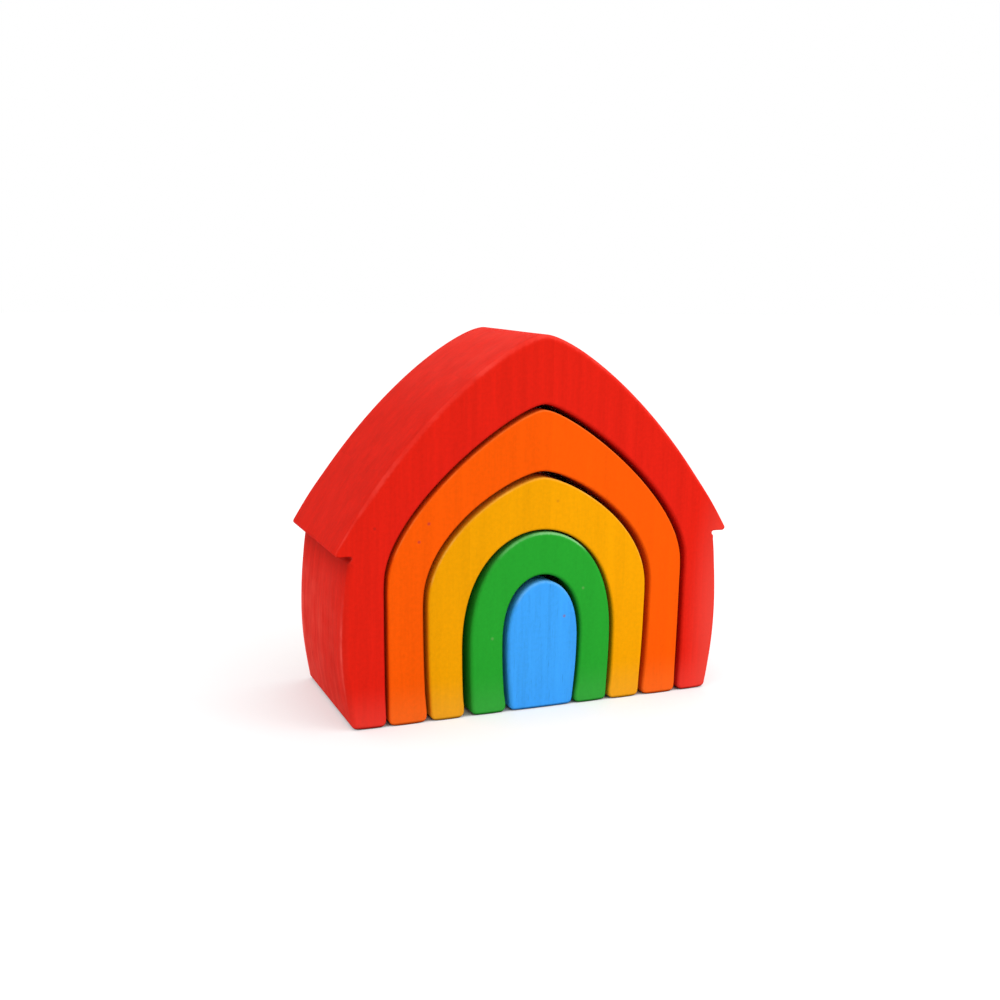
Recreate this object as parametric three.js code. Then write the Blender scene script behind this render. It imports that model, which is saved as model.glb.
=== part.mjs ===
import * as THREE from 'three';

// Rainbow house stacker: four arches and a solid door, sawn out of one block of wood.
// Millimetres. +Z is up, the front faces -Y and all five pieces stand on z = 0.
// The house sets the size of the nest. From the outside in, each arch keeps its share of wood at the
// legs and the crown, sawing and sanding take a clearance, and the next piece gets what is left.

// The block and its hand finish.
const HOUSE_WIDTH = 141; // across the bellies of the walls
const HOUSE_HEIGHT = 130; // ground to ridge
const BLOCK_DEPTH = 60; // front face to back face of every piece
const EDGE_ROUND = 1; // sanded round on the front and back edges
const FOOT_ROUND = 2.3 * EDGE_ROUND; // the corners of the feet are rounded over more

// What every arch has:
// legShare: thickness of each leg at its widest, as a share of the width of the house
// crownShare: wood above the opening on the centre line, as a share of the height of the house
// sideGap, crownGap: clearance between the opening and the piece that stands in it
// lean: share of the side clearance by which that piece stands to the right of centre
// What every sawn line has, for the piece inside it and for the opening round that piece:
// taper: how much narrower each side is at the foot than at its widest
// spring: share of the height at which the wall ends and the curve to the ridge begins
// shoulder, ridge: how far that curve keeps its direction at its low end and at its high end

const RED = {
  name: 'red_house_arch',
  colour: '#e22417',
  legShare: 0.101,
  crownShare: 0.1808,
  sideGap: 1.27,
  crownGap: 1.6,
  lean: -0.22,
};

const ORANGE = {
  name: 'orange_arch',
  colour: '#fd5c08',
  taper: 0.65,
  spring: 0.462,
  shoulder: 0.427,
  ridge: 0.18,
  legShare: 0.0887,
  crownShare: 0.1617,
  sideGap: 1.55,
  crownGap: 1.95,
  lean: -0.05,
};

const YELLOW = {
  name: 'yellow_arch',
  colour: '#f8a30a',
  taper: 1.4,
  spring: 0.497,
  shoulder: 0.591,
  ridge: 0.227,
  legShare: 0.0888,
  crownShare: 0.1403,
  sideGap: 1.85,
  crownGap: 0.65,
  lean: 0.5,
};

const GREEN = {
  name: 'green_arch',
  colour: '#29a531',
  taper: 0.85,
  spring: 0.395,
  shoulder: 0.713,
  ridge: 0.452,
  legShare: 0.0854,
  crownShare: 0.1171,
  sideGap: 1.2,
  crownGap: 2,
  lean: 0.36,
};

// The solid middle: it fills what the green arch leaves.
const DOOR = {
  name: 'blue_door',
  colour: '#41a6fd',
  taper: 1.4,
  spring: 0.53,
  shoulder: 0.83,
  ridge: 0.334,
};

// Outside of the red house: walls that belly out, a notch under the eaves and a bowed roof.
const WALL_TAPER = 3; // each wall is this much narrower at the foot than at its belly
const WALL_NECK = 1.9; // each wall is this much narrower at its top than at its belly
const EAVES_HEIGHT = 0.454 * HOUSE_HEIGHT; // underside of the eaves
const BELLY_HEIGHT = 0.5 * EAVES_HEIGHT;
const EAVES_OVERHANG = 2.4; // tip of the eaves beyond the belly of the wall
const EAVES_PITCH = 59.5; // slope of the roof where it leaves the eaves, in degrees
const EAVES_ROUND = 1.1 * EDGE_ROUND; // the tip is blunted a little more than the edges
const NOTCH_DEPTH = 1.2; // how far the notch bites into the top of the wall
const NOTCH_ROUND = 0.6; // inside corner of the notch
const NOTCH_EASE = 1; // height in which the top of the wall starts to turn into the notch
const ROOF_BOW = 0.76 * (HOUSE_HEIGHT - EAVES_HEIGHT); // how far the roof keeps to the pitch of the eaves
const ROOF_RIDGE = 0.07 * HOUSE_WIDTH; // how far it keeps level on each side of the ridge

// How finely round stretches are divided.
const WALL_STEPS = 5;
const CURVE_STEPS = 18;
const CORNER_STEPS = 4;
const EDGE_STEPS = 3;

const at = (x, z) => new THREE.Vector2(x, z);
const towards = (angle, length) => at(Math.cos(angle), Math.sin(angle)).multiplyScalar(length);
const roundCorner = (centre, radius, from, to) =>
  new THREE.EllipseCurve(centre.x, centre.y, radius, radius, from, to, to < from);

// Joins curves that follow each other into one run of points without repeats.
function joined(curves) {
  const points = [];
  for (const [curve, steps] of curves) {
    points.push(...curve.getPoints(steps).slice(points.length > 0 ? 1 : 0));
  }
  return points;
}

// Foot corner and wall of a line, from the ground to where the wall stands upright.
// The wood lies inside an outer line (wood = -1) and outside an opening (wood = 1).
function wallFromGround(halfWidth, taper, uprightHeight, wood) {
  const foot = halfWidth - taper;
  const centre = at(foot + wood * FOOT_ROUND, FOOT_ROUND);
  const ground = -Math.PI / 2;
  const wall = new THREE.QuadraticBezierCurve(
    at(foot, FOOT_ROUND),
    at(halfWidth, (FOOT_ROUND + uprightHeight) / 2),
    at(halfWidth, uprightHeight),
  );
  return [
    [roundCorner(centre, FOOT_ROUND, ground, ground - (wood * Math.PI) / 2), CORNER_STEPS],
    [wall, WALL_STEPS],
  ];
}

// Right half of a sawn line from the ground to the ridge: wall, shoulder and gable.
function sawnLine({ halfWidth, height }, shape, wood) {
  const springHeight = shape.spring * height;
  const gable = new THREE.CubicBezierCurve(
    at(halfWidth, springHeight),
    at(halfWidth, springHeight + shape.shoulder * (height - springHeight)),
    at(shape.ridge * halfWidth, height),
    at(0, height),
  );
  return joined([
    ...wallFromGround(halfWidth, shape.taper, springHeight, wood),
    [gable, CURVE_STEPS],
  ]);
}

// Right half of the outside of the house from the ground to the ridge.
function houseLine({ halfWidth, height }) {
  const neck = halfWidth - WALL_NECK;
  const notch = at(neck - NOTCH_DEPTH + NOTCH_ROUND, EAVES_HEIGHT - NOTCH_ROUND);
  const notchStart = 1.25 * Math.PI;
  const notchLip = notch.clone().add(towards(notchStart, NOTCH_ROUND));
  const neckBend = at(neck, notchLip.y - (neck - notchLip.x));
  const neckStart = at(neck, neckBend.y - NOTCH_EASE);
  const tip = at(halfWidth + EAVES_OVERHANG - EAVES_ROUND, EAVES_HEIGHT + EAVES_ROUND);
  const pitch = THREE.MathUtils.degToRad(EAVES_PITCH);
  const roofStart = tip.clone().add(towards(Math.PI / 2 - pitch, EAVES_ROUND));

  const upperWall = new THREE.QuadraticBezierCurve(
    at(halfWidth, BELLY_HEIGHT),
    at(halfWidth, (BELLY_HEIGHT + neckStart.y) / 2),
    neckStart,
  );
  const soffit = new THREE.LineCurve(at(notch.x, EAVES_HEIGHT), at(tip.x, EAVES_HEIGHT));
  const roof = new THREE.CubicBezierCurve(
    roofStart,
    roofStart.clone().add(towards(Math.PI - pitch, ROOF_BOW)),
    at(ROOF_RIDGE, height),
    at(0, height),
  );
  return joined([
    ...wallFromGround(halfWidth, WALL_TAPER, BELLY_HEIGHT, -1),
    [upperWall, WALL_STEPS],
    [new THREE.QuadraticBezierCurve(neckStart, neckBend, notchLip), CORNER_STEPS],
    [roundCorner(notch, NOTCH_ROUND, notchStart, Math.PI / 2), CORNER_STEPS],
    [soffit, 1],
    [roundCorner(tip, EAVES_ROUND, -Math.PI / 2, Math.PI / 2 - pitch), 2 * CORNER_STEPS],
    [roof, CURVE_STEPS],
  ]);
}

// Both halves of a line, from its right foot over the ridge to its left foot.
function mirrored(half) {
  const left = half.slice(0, -1).reverse().map((point) => at(-point.x, point.y));
  return [...half, ...left];
}

// What an arch of the given outer size leaves open.
function openingOf(size, arch) {
  return {
    halfWidth: size.halfWidth - arch.legShare * HOUSE_WIDTH,
    height: size.height - arch.crownShare * HOUSE_HEIGHT,
  };
}

// What fits into the opening of an arch.
function coreOf(opening, arch) {
  return {
    halfWidth: opening.halfWidth - arch.sideGap,
    height: opening.height - arch.crownGap,
  };
}

// Outline of an arch: over the outside from right to left, then back through the opening, which
// follows the sawn line of the piece that stands in it.
function archOutline(outerHalf, opening, inner) {
  return [...mirrored(outerHalf), ...mirrored(sawnLine(opening, inner, 1)).reverse()];
}

// One piece of wood, standing at x: sawn through the block, its edges rounded over front and back.
function sawn(piece, outline, x) {
  const geometry = new THREE.ExtrudeGeometry(new THREE.Shape(outline), {
    depth: BLOCK_DEPTH - 2 * EDGE_ROUND,
    bevelThickness: EDGE_ROUND,
    bevelSize: EDGE_ROUND,
    bevelOffset: -EDGE_ROUND,
    bevelSegments: EDGE_STEPS,
  });
  geometry.translate(x, 0, EDGE_ROUND - BLOCK_DEPTH / 2);
  geometry.rotateX(Math.PI / 2);
  const material = new THREE.MeshStandardMaterial({ color: piece.colour, roughness: 0.45, metalness: 0 });
  const mesh = new THREE.Mesh(geometry, material);
  mesh.name = piece.name;
  return mesh;
}

// Sizes of the nest, from the outside in.
const house = { halfWidth: HOUSE_WIDTH / 2, height: HOUSE_HEIGHT };
const redOpening = openingOf(house, RED);
const orange = coreOf(redOpening, RED);
const orangeOpening = openingOf(orange, ORANGE);
const yellow = coreOf(orangeOpening, ORANGE);
const yellowOpening = openingOf(yellow, YELLOW);
const green = coreOf(yellowOpening, YELLOW);
const greenOpening = openingOf(green, GREEN);
const door = coreOf(greenOpening, GREEN);

// Where each loose piece stands in the opening round it.
const orangeX = RED.lean * RED.sideGap;
const yellowX = orangeX + ORANGE.lean * ORANGE.sideGap;
const greenX = yellowX + YELLOW.lean * YELLOW.sideGap;
const doorX = greenX + GREEN.lean * GREEN.sideGap;

const nest = new THREE.Group();
nest.add(
  sawn(RED, archOutline(houseLine(house), redOpening, ORANGE), 0),
  sawn(ORANGE, archOutline(sawnLine(orange, ORANGE, -1), orangeOpening, YELLOW), orangeX),
  sawn(YELLOW, archOutline(sawnLine(yellow, YELLOW, -1), yellowOpening, GREEN), yellowX),
  sawn(GREEN, archOutline(sawnLine(green, GREEN, -1), greenOpening, DOOR), greenX),
  sawn(DOOR, mirrored(sawnLine(door, DOOR, -1)), doorX),
);

export default nest;
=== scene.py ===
import math
from types import SimpleNamespace

import bmesh
import bpy
from mathutils import Matrix, Vector


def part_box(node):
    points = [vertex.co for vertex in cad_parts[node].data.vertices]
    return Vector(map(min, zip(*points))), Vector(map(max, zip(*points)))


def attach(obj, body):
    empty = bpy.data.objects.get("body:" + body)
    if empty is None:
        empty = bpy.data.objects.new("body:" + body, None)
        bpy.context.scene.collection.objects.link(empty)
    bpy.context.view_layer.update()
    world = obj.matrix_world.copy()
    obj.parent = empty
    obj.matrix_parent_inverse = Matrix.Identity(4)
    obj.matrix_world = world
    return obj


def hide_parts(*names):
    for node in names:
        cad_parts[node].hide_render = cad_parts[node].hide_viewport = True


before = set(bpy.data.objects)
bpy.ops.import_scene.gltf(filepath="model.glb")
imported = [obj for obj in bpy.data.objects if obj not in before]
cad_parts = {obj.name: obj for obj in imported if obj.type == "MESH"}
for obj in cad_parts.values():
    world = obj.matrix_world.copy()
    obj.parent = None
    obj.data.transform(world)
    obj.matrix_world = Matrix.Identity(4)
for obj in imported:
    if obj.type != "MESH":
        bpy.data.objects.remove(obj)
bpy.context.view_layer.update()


# Red house arch. The outermost piece: two bellied legs, a bowed gable roof and a notch under
# each of the eaves, sawn in one go through a block of glued-up staves. Its edges are sanded
# round by hand, and the bare wood takes a red stain that leaves the grain in view.

MM = 0.001
RED_STAIN = (0.77, 0.016, 0.007)
# Pale red for worn stain and sanding dust, also used for painted sheen and highlights.
RED_WEAR_AND_SHEEN = (1.0, 0.1, 0.075)
RED_SPECK = (0.45, 0.016, 0.01)
RED_EDGE_ROUND = 2.0 * MM
RED_OPENING_ROUND = 1.0 * MM
RED_EAVES = 0.454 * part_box("red_house_arch")[1].z


class Wire:
    """A socket of a node tree. Sums written with wires add Math nodes to the tree."""

    def __init__(self, tree, socket=None):
        self.tree = tree
        self.socket = socket

    def node(self, kind, inputs=None, output=0, items=(), **settings):
        """Adds a node, sets it up, then gives its inputs their values or wires."""
        made = self.tree.nodes.new(kind)
        for name, value in settings.items():
            setattr(made, name, value)
        for item in items:
            made.capture_items.new(*item)
        for name, given in (inputs or {}).items():
            for value in given if isinstance(given, list) else [given]:
                if isinstance(value, Wire):
                    self.tree.links.new(value.socket, made.inputs[name])
                else:
                    made.inputs[name].default_value = value
        return Wire(self.tree, made.outputs[output] if made.outputs else None)

    def beside(self, output):
        """Another output of the node that this wire comes from."""
        return Wire(self.tree, self.socket.node.outputs[output])

    def maths(self, operation, first, second=0.0):
        return self.node("ShaderNodeMath", {0: first, 1: second}, operation=operation)

    def __add__(self, other):
        return self.maths("ADD", self, other)

    def __sub__(self, other):
        return self.maths("SUBTRACT", self, other)

    def __rsub__(self, other):
        return self.maths("SUBTRACT", other, self)

    def __mul__(self, other):
        return self.maths("MULTIPLY", self, other)

    def __truediv__(self, other):
        return self.maths("DIVIDE", self, other)

    __radd__ = __add__
    __rmul__ = __mul__

    def least(self, other):
        return self.maths("MINIMUM", self, other)

    def most(self, other):
        return self.maths("MAXIMUM", self, other)

    def between(self, low, high):
        """0 up to low and 1 from high on, with a smooth step from one to the other."""
        ends = {"Value": self, "From Min": low, "From Max": high}
        return self.node("ShaderNodeMapRange", ends, interpolation_type="SMOOTHSTEP")

    def axes(self):
        first = self.node("ShaderNodeSeparateXYZ", {"Vector": self})
        return [first.beside(axis) for axis in "XYZ"]

    def point(self, x, y, z):
        return self.node("ShaderNodeCombineXYZ", {"X": x, "Y": y, "Z": z})


def sawn_outline(node):
    """A CAD node's outline as a closed curve, with its up turned to Y.

    It starts on the ground at the right foot and runs up the outside. The radius of each point
    is the widest edge round that the curve has room for there.
    """
    weld = 0.001 * MM
    level = 0.01 * MM
    least_turn = 0.001
    room_share = 0.75
    reach = 2
    curve_steps = 6

    solid = bmesh.new()
    solid.from_mesh(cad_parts[node].data)
    bmesh.ops.remove_doubles(solid, verts=solid.verts, dist=weld)
    # The outline is whole where the round of the solid's front edge ends.
    front = -min(abs(v.co.y) for v in solid.verts)
    rest = [v for v in solid.verts if abs(v.co.y - front) > level]
    bmesh.ops.delete(solid, geom=rest, context="VERTS")

    ground = [v for v in solid.verts if v.co.z < level]
    start = max(ground, key=lambda v: v.co.x)
    step = max(start.link_edges, key=lambda e: e.other_vert(start).co.z)
    ring = [start]
    while (vert := step.other_vert(ring[-1])) != start:
        ring.append(vert)
        step = next(e for e in vert.link_edges if e != step)
    points = [Vector((v.co.x, v.co.z)) for v in ring]
    solid.free()

    room = []
    for i, here in enumerate(points):
        arriving = here - points[i - 1]
        leaving = points[(i + 1) % len(points)] - here
        turn = math.atan2(arriving.cross(leaving), arriving.dot(leaving))
        radius = min(arriving.length, leaving.length) / max(abs(turn), least_turn)
        room.append(room_share * radius)
    curve = bpy.data.curves.new(node + "_outline", "CURVE")
    curve.dimensions = "3D"
    spline = curve.splines.new("BEZIER")
    spline.use_cyclic_u = True
    spline.resolution_u = curve_steps
    spline.bezier_points.add(len(points) - 1)
    for i, bezier in enumerate(spline.bezier_points):
        bezier.co = (*points[i], 0)
        bezier.handle_left_type = bezier.handle_right_type = "AUTO"
        bezier.radius = min(room[j % len(room)] for j in range(i - reach, i + reach + 1))
    return curve


def sawing_tree():
    """Geometry Nodes that turn an outline into a block with hand-rounded edges.

    The rim is swept along the outline: a ring in the face, the round of the edge, the sawn side,
    and the same again to the back. Sanding only takes wood away, and leaves the feet level. Each
    point of the rim is marked with how far it is on the side, outside and facing up.
    """
    tree = bpy.data.node_groups.new("sawn block", "GeometryNodeTree")
    tree.interface.new_socket("Outline", in_out="INPUT", socket_type="NodeSocketGeometry")
    for size in ("Depth", "Edge Round", "Opening Round", "Sanding", "Seed"):
        tree.interface.new_socket(size, in_out="INPUT", socket_type="NodeSocketFloat")
    tree.interface.new_socket("Wood", in_out="INPUT", socket_type="NodeSocketMaterial")
    tree.interface.new_socket("Block", in_out="OUTPUT", socket_type="NodeSocketGeometry")

    round_steps = 6
    side_steps = 8
    ring_share = 0.15
    outer_least = -1 * MM
    easing_steps = 6
    wave_length = 30 * MM
    wave_detail = 1.0
    level_height = 8 * MM
    weld = 0.002 * MM
    quarter_turn = math.pi / 2

    given = Wire(tree).node("NodeGroupInput")
    depth = given.beside("Depth")
    edge_round = given.beside("Edge Round")
    opening_round = given.beside("Opening Round")

    outline = given.node("GeometryNodeResampleCurve", {"Curve": given}, mode="EVALUATED")
    along = given.node("GeometryNodeInputTangent")
    sideways = given.node(
        "ShaderNodeVectorMath", {0: along, 1: (0, 0, 1)}, operation="CROSS_PRODUCT"
    )
    spot = given.node("GeometryNodeInputPosition")
    from_middle = given.node(
        "ShaderNodeVectorMath", {0: sideways, 1: spot}, "Value", operation="DOT_PRODUCT"
    )
    outside = given.maths("GREATER_THAN", from_middle, outer_least)
    wanted = opening_round + outside * (edge_round - opening_round)
    room = given.node("GeometryNodeInputRadius").least(wanted)
    eased = given.node("GeometryNodeBlurAttribute", {"Value": room, "Iterations": easing_steps})
    path = given.node(
        "GeometryNodeCaptureAttribute",
        {
            "Geometry": outline,
            "Spot": spot,
            "Outward": sideways,
            "Round": eased,
            "Outside": outside,
        },
        items=[("VECTOR", "Spot"), ("VECTOR", "Outward"), ("FLOAT", "Round"), ("FLOAT", "Outside")],
    )
    spot_x, spot_y, _ = path.beside("Spot").axes()
    out_x, out_y, _ = path.beside("Outward").axes()
    rounding = path.beside("Round")

    last_row = 2 * (1 + round_steps) + side_steps
    rows = given.node(
        "GeometryNodeResampleCurve",
        {"Curve": given.node("GeometryNodeCurvePrimitiveLine"), "Count": last_row + 1},
        mode="COUNT",
    )
    profile = given.node(
        "GeometryNodeCaptureAttribute",
        {"Geometry": rows, "Share": given.node("GeometryNodeSplineParameter")},
        items=[("FLOAT", "Share")],
    )
    row = profile.beside("Share") * last_row
    from_face = row.least(last_row - row)
    facing = 1 - 2 * given.maths("GREATER_THAN", row, last_row / 2)
    quarter = ((from_face - 1) / round_steps).most(0).least(1) * quarter_turn
    into_side = ((from_face - 1 - round_steps) / (side_steps / 2)).most(0)
    inset = rounding * (1 - given.maths("SINE", quarter) + ring_share * (1 - from_face).most(0))
    drop = rounding * (1 - given.maths("COSINE", quarter))
    height = facing * (depth / 2 - drop) * (1 - into_side)

    def sanded(inset, height):
        wobble = given.node(
            "ShaderNodeTexNoise",
            {
                "Vector": given.point(spot_x, spot_y, height),
                "W": given.beside("Seed"),
                "Scale": 1 / wave_length,
                "Detail": wave_detail,
            },
            noise_dimensions="4D",
        )
        taken = given.beside("Sanding") * wobble * spot_y.between(0, level_height)
        back = inset + taken
        return given.point(spot_x - out_x * back, (spot_y - out_y * back).most(0), height)

    swept = given.node("GeometryNodeCurveToMesh", {"Curve": path, "Profile Curve": profile})
    rim = given.node(
        "GeometryNodeSetPosition", {"Geometry": swept, "Position": sanded(inset, height)}
    )
    marks = {"side": quarter / quarter_turn, "outside": path.beside("Outside"), "up": out_y}
    for name, value in marks.items():
        rim = given.node(
            "GeometryNodeStoreNamedAttribute",
            {"Geometry": rim, "Name": name, "Value": value},
            data_type="FLOAT",
            domain="POINT",
        )

    faces = []
    for facing_sign in (1, -1):
        face_height = depth * (facing_sign / 2)
        brim = given.node(
            "GeometryNodeSetPosition",
            {"Geometry": path, "Position": sanded(rounding * (1 + ring_share), face_height)},
        )
        face = given.node("GeometryNodeFillCurve", {"Curve": brim}, mode="NGONS")
        if facing_sign < 0:
            face = given.node("GeometryNodeFlipFaces", {"Mesh": face})
        lift = given.point(0.0, 0.0, face_height)
        faces.append(given.node("GeometryNodeTransform", {"Geometry": face, "Translation": lift}))

    block = given.node("GeometryNodeJoinGeometry", {"Geometry": [rim, *faces]})
    block = given.node("GeometryNodeMergeByDistance", {"Geometry": block, "Distance": weld})
    block = given.node(
        "GeometryNodeTransform", {"Geometry": block, "Rotation": (quarter_turn, 0, 0)}
    )
    block = given.node("GeometryNodeSetShadeSmooth", {"Geometry": block})
    block = given.node("GeometryNodeRealizeInstances", {"Geometry": block})
    block = given.node(
        "GeometryNodeSetMaterial", {"Geometry": block, "Material": given.beside("Wood")}
    )
    given.node("NodeGroupOutput", {"Block": block})
    return tree


SAWING = sawing_tree()
SANDING = 0.2 * MM
scene = bpy.context.scene


def sawn_block(name, node, edge_round, opening_round, seed, wood):
    """One piece, sawn to the outline of its CAD node, as a plain mesh."""
    host = bpy.data.objects.new(name + "_outline", sawn_outline(node))
    scene.collection.objects.link(host)
    low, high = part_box(node)
    sizes = {
        "Depth": high.y - low.y,
        "Edge Round": edge_round,
        "Opening Round": opening_round,
        "Sanding": SANDING,
        "Seed": float(seed),
        "Wood": wood,
    }
    saw = host.modifiers.new("sawn block", "NODES")
    saw.node_group = SAWING
    for socket in SAWING.interface.items_tree:
        if socket.name in sizes:
            saw[socket.identifier] = sizes[socket.name]
    graph = bpy.context.evaluated_depsgraph_get()
    mesh = bpy.data.meshes.new_from_object(host.evaluated_get(graph), depsgraph=graph)
    bpy.data.objects.remove(host)
    block = bpy.data.objects.new(name, mesh)
    scene.collection.objects.link(block)
    return block


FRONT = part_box("red_house_arch")[0].y
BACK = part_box("red_house_arch")[1].y
STAVE_WIDTH = 29.2 * MM
STAVE_JOINT = 2.6 * MM
STAVE_SHIFT = 7.3
BROAD_GRAIN = (5 * MM, 5 * MM, 120 * MM)
FINE_GRAIN = (0.9 * MM, 0.9 * MM, 16 * MM)
PORE = (0.5 * MM, 0.5 * MM, 6 * MM)
BELT_MARK = (16 * MM, 1.2 * MM, 16 * MM)
MOTTLE = (1.3 * MM, 1.3 * MM, 1.3 * MM)
SCUFF = (9 * MM, 9 * MM, 9 * MM)
FOOT_HEIGHT = 16 * MM
SOLE = (0.2 * MM, 1.4 * MM)


def wood_figure(start, seed, eaves):
    """Where a point of a sawn piece lies and what the wood shows there, as named wires.

    side is 1 on the sawn sides, outside is 0 on those of the opening, roof is 1 where they face
    up, and wall is 1 outside under the eaves. The grain runs upright and starts anew in each
    stave, and level fades its relief at the glue joints. Belt marks follow the outline.
    """
    facing_up = (0.1, 0.6)
    joint_share = 0.02
    open_pore = (0.62, 0.75)
    x, y, z = start.node("ShaderNodeTexCoord", output="Object").axes()

    def mark(name):
        return start.node("ShaderNodeAttribute", {}, "Fac", attribute_name=name)

    def noise(size, detail, shift=0.0):
        place = start.point(x / size[0], y / size[1], z / size[2] + shift)
        return start.node(
            "ShaderNodeTexNoise",
            {"Vector": place, "W": float(seed), "Scale": 1.0, "Detail": detail},
            noise_dimensions="4D",
        )

    across = (x - STAVE_JOINT) / STAVE_WIDTH
    stave = start.maths("FLOOR", across)
    in_stave = across - stave
    shift = stave * STAVE_SHIFT
    side = mark("side")
    outside = mark("outside")
    return SimpleNamespace(
        x=x,
        y=y,
        z=z,
        side=side,
        outside=outside,
        roof=side * mark("up").between(*facing_up),
        wall=side * outside * start.maths("LESS_THAN", z, eaves),
        foot=1 - z.between(0, FOOT_HEIGHT),
        sole=1 - z.between(*SOLE),
        stave=stave,
        level=in_stave.least(1 - in_stave).between(0, joint_share),
        broad=noise(BROAD_GRAIN, 2.0, shift),
        fine=noise(FINE_GRAIN, 2.0, shift),
        pores=noise(PORE, 1.0, shift).between(*open_pore),
        belt=noise(BELT_MARK, 4.0, shift),
        mottle=noise(MOTTLE, 3.0),
        scuffs=noise(SCUFF, 3.0),
    )


def stain_and_painted_shade(wood, grain, pore, tone, eaves):
    """How light the stain came out, by the staves, the grain and the marks of the sanding belt.

    On top of that it paints shade: darker on the sides of the openings, under the eaves, along
    the sole where the piece meets the floor, and on sides facing up, against the top light.
    """
    stave_turn = 1.2
    stave_start = 0.6
    # Painted shade in the gaps: the sides of the openings, where the next piece stands close.
    cut_shade = 0.35
    # Painted shade under the eaves, deepest just below them.
    eaves_shade = 0.25
    eaves_depth = 13 * MM
    # Painted shade: sides facing up are darkened, because the top light makes them too bright.
    roof_shade = 0.1
    # Painted contact shadow: the lowest millimetre or so of each piece is darkened.
    sole_shade = 0.8

    shade = wood.stave.maths("SINE", wood.stave * stave_turn + stave_start)
    figure = wood.broad - 0.5 + 0.5 * (wood.fine - 0.5)
    figure_shown = 1 - 0.5 * wood.roof + 0.5 * (wood.side - wood.wall)
    mottle_shown = 0.2 + 0.05 * wood.side
    belt_shown = 0.15 * wood.side
    light = (
        1
        + tone * shade
        + grain * figure_shown * figure
        + mottle_shown * (wood.mottle - 0.5)
        + belt_shown * (wood.belt - 0.5)
        - pore * wood.pores
    )
    in_cut = wood.side * (1 - wood.outside)
    shelter = wood.z.between(eaves - eaves_depth, eaves)
    light = light * (1 - cut_shade * in_cut)
    light = light * (1 - eaves_shade * wood.wall * shelter * shelter)
    return light * (1 - roof_shade * wood.roof) * (1 - sole_shade * wood.sole)


def dust_and_sheen(wood, height, eaves):
    """How much sanding dust and painted sheen pale a side: walls to the back, roofs near the ridge.
    """
    dust_share = 0.42
    eaves_shadow_depth = 24 * MM
    ridge_share = 0.75

    brushed = wood.belt.between(0.35, 0.75)
    scuffed = wood.scuffs.between(0.35, 0.7)
    # Painted shade: the band under the eaves gets no dust or sheen, so it stays dark and deep.
    outside_eaves_shadow = 1 - wood.z.between(eaves - eaves_shadow_depth, eaves)
    # Painted sheen: the wall pales more towards the back, which is seen at a glancing angle.
    deep = 0.4 + 1.4 * (wood.y - FRONT) / (BACK - FRONT)
    wall = wood.wall * outside_eaves_shadow * deep * (0.6 * brushed + 0.4 * scuffed)
    aloft = 0.1 + 0.8 * wood.z.between(ridge_share * height, height)
    roof = wood.roof * aloft * (0.36 + 0.1 * brushed + 0.25 * scuffed)
    return dust_share * (wall + roof)


def worn_and_highlit_edges(wood, held, edge_wear_and_highlight, eaves):
    """How far the stain wears off the outer edges, in patches, and how far these edges take a
    painted highlight.

    Hands take it off the rounded edge from the height where they take hold, and the shelf takes
    it off the wall just behind that edge, where the wall bellies out.
    """
    belly_wear_and_sheen, crown_wear_and_highlight = edge_wear_and_highlight
    held_fade = 4 * MM

    ragged = wood.mottle - 0.5
    lip = wood.side + 0.4 * ragged
    rim = lip.between(0.15, 0.45) * (1 - lip.between(0.7, 1.0))
    # Real wear and a painted highlight of the lamps on the rounded edge, from where hands hold.
    worn = crown_wear_and_highlight * rim * wood.z.between(held - held_fade, held)
    if belly_wear_and_sheen:
        # Wear and painted sheen along the wall just behind the front edge.
        inward = (wood.y - FRONT).least(BACK - wood.y) + 0.8 * MM * ragged
        arris = inward.between(1.4 * MM, 2.2 * MM) * (1 - inward.between(3.0 * MM, 5.2 * MM))
        share = wood.z / eaves
        belly = share.between(0.1, 0.3) * (1 - share.between(0.55, 0.8))
        worn = worn + belly_wear_and_sheen * arris * belly
    patches = 0.35 + 0.65 * wood.scuffs.between(0.4, 0.65)
    return worn * wood.outside * patches


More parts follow.
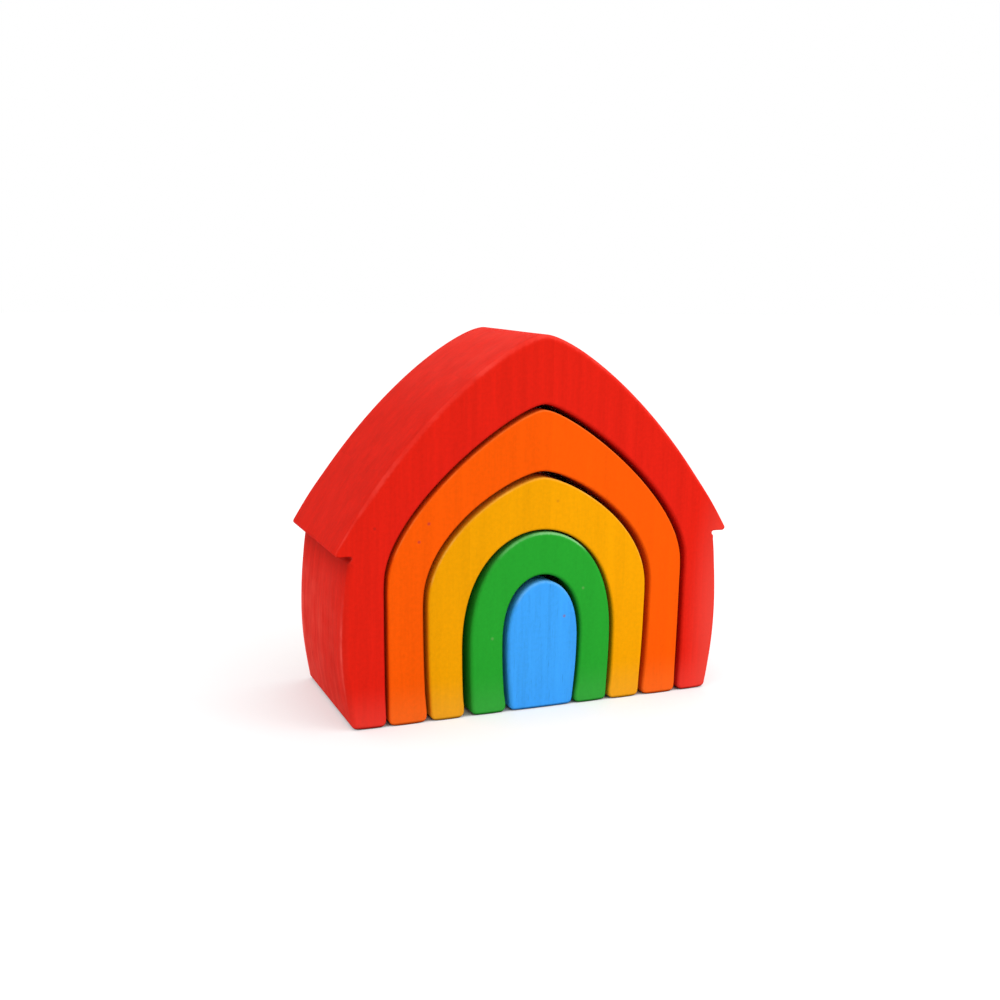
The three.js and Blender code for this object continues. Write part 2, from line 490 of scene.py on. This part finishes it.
def stained_wood(
    name, stain, wear_and_sheen_colour, speck, grain, pore, tone, height, held, edge_wear_and_highlight, feet, seed,
    eaves=0.0, sheen_patches=(), marks=(),
):
    """Sawn wood under a matt stain, glued up from staves that run from front to back.

    grain, pore, tone: how strongly the grain, the pores and the shades of the staves show.
    height, eaves: of the piece and of its eaves, under which the wall gets painted shade.
    held, edge_wear_and_highlight: from what height hands rub the edge, how far belly and crown
    lose their stain, and how bright a painted highlight they take.
    feet: how far the feet pale towards the floor, a painted sheen of the white floor.
    sheen_patches: painted sheen on the front, each as x, z, reach in x, reach in z and a share.
    marks: dents in the front, each as x and z. Both are in millimetres.
    """
    mark_reach = 0.8
    mark_share = 0.6
    foot_side_share = 0.4
    relief = 0.1 * MM
    relief_share = 0.3
    matt = 0.68
    gloss = 0.015

    material = bpy.data.materials.new(name)
    material.use_nodes = True
    material.node_tree.nodes.clear()
    start = Wire(material.node_tree)
    wood = wood_figure(start, seed, eaves)
    worn = worn_and_highlit_edges(wood, held, edge_wear_and_highlight, eaves)

    def over(colour, layer, share):
        return start.node(
            "ShaderNodeMix", {0: share, 6: colour, 7: (*layer, 1)}, 2, data_type="RGBA"
        )

    def near(place_x, place_z, reach_x, reach_z):
        away = start.point(
            (wood.x - place_x * MM) / (reach_x * MM),
            (wood.y - FRONT) / (reach_x * MM),
            (wood.z - place_z * MM) / (reach_z * MM),
        )
        away = start.node("ShaderNodeVectorMath", {0: away}, "Value", operation="LENGTH")
        return 1 - away.between(0.2, 1.0)

    light = stain_and_painted_shade(wood, grain, pore, tone, eaves)
    # Painted sheen of the white floor on the feet, paling them towards the ground.
    floor_sheen_on_feet = feet * wood.foot * (1 - foot_side_share * wood.side) * (1 - wood.sole)
    colour = start.node("ShaderNodeVectorMath", {0: stain, "Scale": light}, operation="SCALE")
    colour = over(colour, wear_and_sheen_colour, dust_and_sheen(wood, height, eaves))
    colour = over(colour, wear_and_sheen_colour, floor_sheen_on_feet)
    colour = over(colour, wear_and_sheen_colour, worn)
    # Painted sheen patches on the front.
    for *patch, share in sheen_patches:
        colour = over(colour, wear_and_sheen_colour, share * near(*patch) * (1 - wood.side))
    for place_x, place_z in marks:
        colour = over(colour, speck, mark_share * near(place_x, place_z, mark_reach, mark_reach))

    grooves = wood.level * (wood.fine - 0.5 - 0.5 * wood.pores)
    bump = start.node(
        "ShaderNodeBump",
        {"Strength": relief_share, "Distance": relief, "Height": grooves},
        output="Normal",
    )
    shader = start.node(
        "ShaderNodeBsdfPrincipled",
        {
            "Base Color": colour,
            "Roughness": matt - 0.15 * worn + 0.1 * (wood.fine - 0.5),
            "Specular IOR Level": gloss,
            "Normal": bump,
        },
    )
    start.node("ShaderNodeOutputMaterial", {"Surface": shader})
    return material


red_wood = stained_wood(
    "red_stained_wood",
    RED_STAIN,
    RED_WEAR_AND_SHEEN,
    RED_SPECK,
    grain=0.32,
    pore=0.04,
    tone=0.015,
    height=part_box("red_house_arch")[1].z,
    held=RED_EAVES,
    edge_wear_and_highlight=(0.75, 0.3),
    feet=0.3,
    seed=1,
    eaves=RED_EAVES,
    # Painted sheen on the outer side of the right leg.
    sheen_patches=[(74, 22, 18, 75, 0.55)],
    marks=[(-59.7, 67.9)],
)
red_house = sawn_block(
    "red_house_wood", "red_house_arch", RED_EDGE_ROUND, RED_OPENING_ROUND, 1, red_wood
)
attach(red_house, "red_house")
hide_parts("red_house_arch")


# Orange arch. It stands loose inside the red house on its own two feet and slides out to the
# front or the back. The same sawn and sanded wood, stained orange, with a gable a little rounder.

ORANGE_STAIN = (0.99, 0.108, 0.002)
# Pale orange for worn stain and sanding dust, also used for painted sheen and highlights.
ORANGE_WEAR_AND_SHEEN = (1.0, 0.3, 0.06)
ORANGE_SPECK = (0.45, 0.03, 0.04)
ORANGE_EDGE_ROUND = 0.7 * MM
ORANGE_OPENING_ROUND = 0.8 * MM

orange_wood = stained_wood(
    "orange_stained_wood",
    ORANGE_STAIN,
    ORANGE_WEAR_AND_SHEEN,
    ORANGE_SPECK,
    grain=0.22,
    pore=0.03,
    tone=0.02,
    height=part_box("orange_arch")[1].z,
    held=60 * MM,
    edge_wear_and_highlight=(0.0, 0.25),
    feet=0.2,
    seed=2,
    marks=[(-41.2, 68.4), (-44.6, 62.5)],
)
orange_arch = sawn_block(
    "orange_arch_wood", "orange_arch", ORANGE_EDGE_ROUND, ORANGE_OPENING_ROUND, 2, orange_wood
)
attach(orange_arch, "orange_arch")
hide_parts("orange_arch")


# Yellow arch. The third piece of the nest, with rounded shoulders and a soft gable. Its thin
# stain shows best that the block is glued up: each stave took the colour a little differently.

YELLOW_STAIN = (0.915, 0.37, 0.0012)
# Pale yellow for worn stain and sanding dust, also used for painted sheen and highlights.
YELLOW_WEAR_AND_SHEEN = (1.0, 0.6, 0.15)
YELLOW_SPECK = (0.68, 0.23, 0.005)
YELLOW_EDGE_ROUND = 0.8 * MM
YELLOW_OPENING_ROUND = 0.8 * MM

yellow_wood = stained_wood(
    "yellow_stained_wood",
    YELLOW_STAIN,
    YELLOW_WEAR_AND_SHEEN,
    YELLOW_SPECK,
    grain=0.2,
    pore=0.05,
    tone=0.05,
    height=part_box("yellow_arch")[1].z,
    held=50 * MM,
    edge_wear_and_highlight=(0.0, 0.25),
    feet=0.1,
    seed=3,
    marks=[(5.3, 73.5)],
)
yellow_arch = sawn_block(
    "yellow_arch_wood", "yellow_arch", YELLOW_EDGE_ROUND, YELLOW_OPENING_ROUND, 3, yellow_wood
)
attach(yellow_arch, "yellow_arch")
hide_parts("yellow_arch")


# Green arch. Round-headed, the smallest arch, standing loose between the yellow arch and the
# door. The stain wears away along the edge of its crown, and that edge carries a painted
# highlight.

GREEN_STAIN = (0.022, 0.38, 0.029)
# Pale green for worn stain and sanding dust, also used for painted sheen and highlights.
GREEN_WEAR_AND_SHEEN = (0.3, 0.7, 0.3)
GREEN_SPECK = (0.15, 0.42, 0.1)
GREEN_EDGE_ROUND = 1.3 * MM
GREEN_OPENING_ROUND = 1.0 * MM

green_wood = stained_wood(
    "green_stained_wood",
    GREEN_STAIN,
    GREEN_WEAR_AND_SHEEN,
    GREEN_SPECK,
    grain=0.14,
    pore=0.05,
    tone=0.015,
    height=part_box("green_arch")[1].z,
    held=58 * MM,
    # Mostly a painted highlight along the crown edge, with some real wear.
    edge_wear_and_highlight=(0.0, 0.8),
    feet=0.07,
    seed=4,
    marks=[(-18.1, 27.0), (15.8, 42.1)],
)
green_arch = sawn_block(
    "green_arch_wood", "green_arch", GREEN_EDGE_ROUND, GREEN_OPENING_ROUND, 4, green_wood
)
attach(green_arch, "green_arch")
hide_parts("green_arch")


# Blue door. The solid middle that is left when the green arch is sawn free. The pale blue stain
# hides least, so the pores of the wood show as short upright strokes.

BLUE_STAIN = (0.053, 0.388, 1.0)
# Pale blue for worn stain and sanding dust, also used for painted sheen and highlights.
BLUE_WEAR_AND_SHEEN = (0.25, 0.6, 1.0)
BLUE_SPECK = (0.3, 0.1, 0.15)
BLUE_EDGE_ROUND = 1.3 * MM

blue_wood = stained_wood(
    "blue_stained_wood",
    BLUE_STAIN,
    BLUE_WEAR_AND_SHEEN,
    BLUE_SPECK,
    grain=0.42,
    pore=0.18,
    tone=0.015,
    height=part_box("blue_door")[1].z,
    held=40 * MM,
    edge_wear_and_highlight=(0.0, 0.3),
    feet=0.0,
    seed=5,
    marks=[(8.8, 32.6)],
)
blue_door = sawn_block(
    "blue_door_wood", "blue_door", BLUE_EDGE_ROUND, BLUE_EDGE_ROUND, 5, blue_wood
)
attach(blue_door, "blue_door")
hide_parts("blue_door")


# Floor. A plain matt white floor that keeps the soft shadow of the house. It is whiter to the
# camera than its paint, and a little painted light makes it whiter still on the lit side, to
# the front right, but it does not glow in the gaps under the pieces.

FLOOR_SIZE = 8.0
FLOOR_WHITE = (0.62, 0.62, 0.62)
FLOOR_GLOW = 0.31
LIT_GLOW = 0.06
LIT_FROM = -60 * MM
LIT_TO = 10 * MM
CONTACT_X = 64 * MM
CONTACT_Y = 28 * MM
CONTACT_FADE = 2 * MM


def seen_directly(start):
    """1 on the rays by which the camera sees a thing, also in gloss and through glass."""
    rays = start.node("ShaderNodeLightPath", output="Is Camera Ray")
    return rays.most(rays.beside("Is Glossy Ray")).most(rays.beside("Is Transmission Ray"))


floor_mesh = bpy.data.meshes.new("floor")
half = FLOOR_SIZE / 2
floor_mesh.from_pydata(
    [(-half, -half, 0), (half, -half, 0), (half, half, 0), (-half, half, 0)], [], [(0, 1, 2, 3)]
)
floor = bpy.data.objects.new("floor", floor_mesh)
scene.collection.objects.link(floor)
floor_paint = bpy.data.materials.new("floor_white")
floor_paint.use_nodes = True
floor_paint.node_tree.nodes.clear()
paint = Wire(floor_paint.node_tree)
matt_white = paint.node("ShaderNodeBsdfDiffuse", {"Color": (*FLOOR_WHITE, 1)})
floor_x, floor_y, _ = paint.node("ShaderNodeTexCoord", output="Object").axes()
beside = paint.maths("ABSOLUTE", floor_x).between(CONTACT_X, CONTACT_X + CONTACT_FADE)
before = paint.maths("ABSOLUTE", floor_y).between(CONTACT_Y, CONTACT_Y + CONTACT_FADE)
# Painted light: the floor glows a little more towards the lit side, to the front right.
lit_side = (floor_x - floor_y).between(LIT_FROM, LIT_TO)
glowing = (FLOOR_GLOW + LIT_GLOW * lit_side) * seen_directly(paint) * beside.most(before)
glow = paint.node("ShaderNodeEmission", {"Strength": glowing})
white = paint.node("ShaderNodeAddShader", {0: matt_white, 1: glow})
paint.node("ShaderNodeOutputMaterial", {"Surface": white})
floor_mesh.materials.append(floor_paint)


# Light. White walls all round give most of it. A broad light overhead, a little to the right,
# casts the soft shadow, and a soft box on the right of the front brightens that side.

WALL_LIGHT = 0.815
TOP_LIGHT = 0.42
TOP_SPREAD = math.radians(80)
TOP_FROM = Vector((0.08, -0.15, 1.0))
BOX_LIGHT = 0.2
BOX_PLACE = Vector((0.55, -0.45, 0.4))
BOX_SIZE = 0.4
AIM = Vector((0, 0, 0.06))

world = bpy.data.worlds.new("studio")
scene.world = world
world.use_nodes = True
world.node_tree.nodes.clear()
studio = Wire(world.node_tree)
shown = studio.node("ShaderNodeBackground", {"Color": (1, 1, 1, 1), "Strength": 1.0})
lit = studio.node("ShaderNodeBackground", {"Color": (1, 1, 1, 1), "Strength": WALL_LIGHT})
walls = studio.node("ShaderNodeMixShader", {0: seen_directly(studio), 1: lit, 2: shown})
studio.node("ShaderNodeOutputWorld", {"Surface": walls})

top = bpy.data.lights.new("top_light", "SUN")
top.angle = TOP_SPREAD
top.energy = TOP_LIGHT * math.pi
top_light = bpy.data.objects.new("top_light", top)
top_light.rotation_euler = TOP_FROM.to_track_quat("Z", "Y").to_euler()
scene.collection.objects.link(top_light)

box = bpy.data.lights.new("soft_box", "AREA")
box.shape = "SQUARE"
box.size = BOX_SIZE
reach = BOX_PLACE - AIM
box.energy = BOX_LIGHT * math.pi**2 * reach.length_squared
soft_box = bpy.data.objects.new("soft_box", box)
soft_box.location = BOX_PLACE
soft_box.rotation_euler = reach.to_track_quat("Z", "Y").to_euler()
scene.collection.objects.link(soft_box)


# Camera. It stands a little above the eaves, to the left of the front, as in the photograph.

CAMERA_PLACE = Vector((-0.1721, -0.4071, 0.1491))
CAMERA_SENSOR = 36
CAMERA_LENS = 44.61
CAMERA_NEAR = 10 * MM
CAMERA_TURN = math.radians(22.47)
CAMERA_DIP = math.radians(10.29)
CAMERA_ROLL = math.radians(0.925)

view = bpy.data.cameras.new("camera")
view.sensor_width = CAMERA_SENSOR
view.lens = CAMERA_LENS
view.clip_start = CAMERA_NEAR
camera = bpy.data.objects.new("camera", view)
camera.matrix_world = (
    Matrix.Translation(CAMERA_PLACE)
    @ Matrix.Rotation(-CAMERA_TURN, 4, "Z")
    @ Matrix.Rotation(math.pi / 2 - CAMERA_DIP, 4, "X")
    @ Matrix.Rotation(CAMERA_ROLL, 4, "Z")
)
scene.collection.objects.link(camera)
scene.camera = camera
scene.view_settings.view_transform = "Standard"
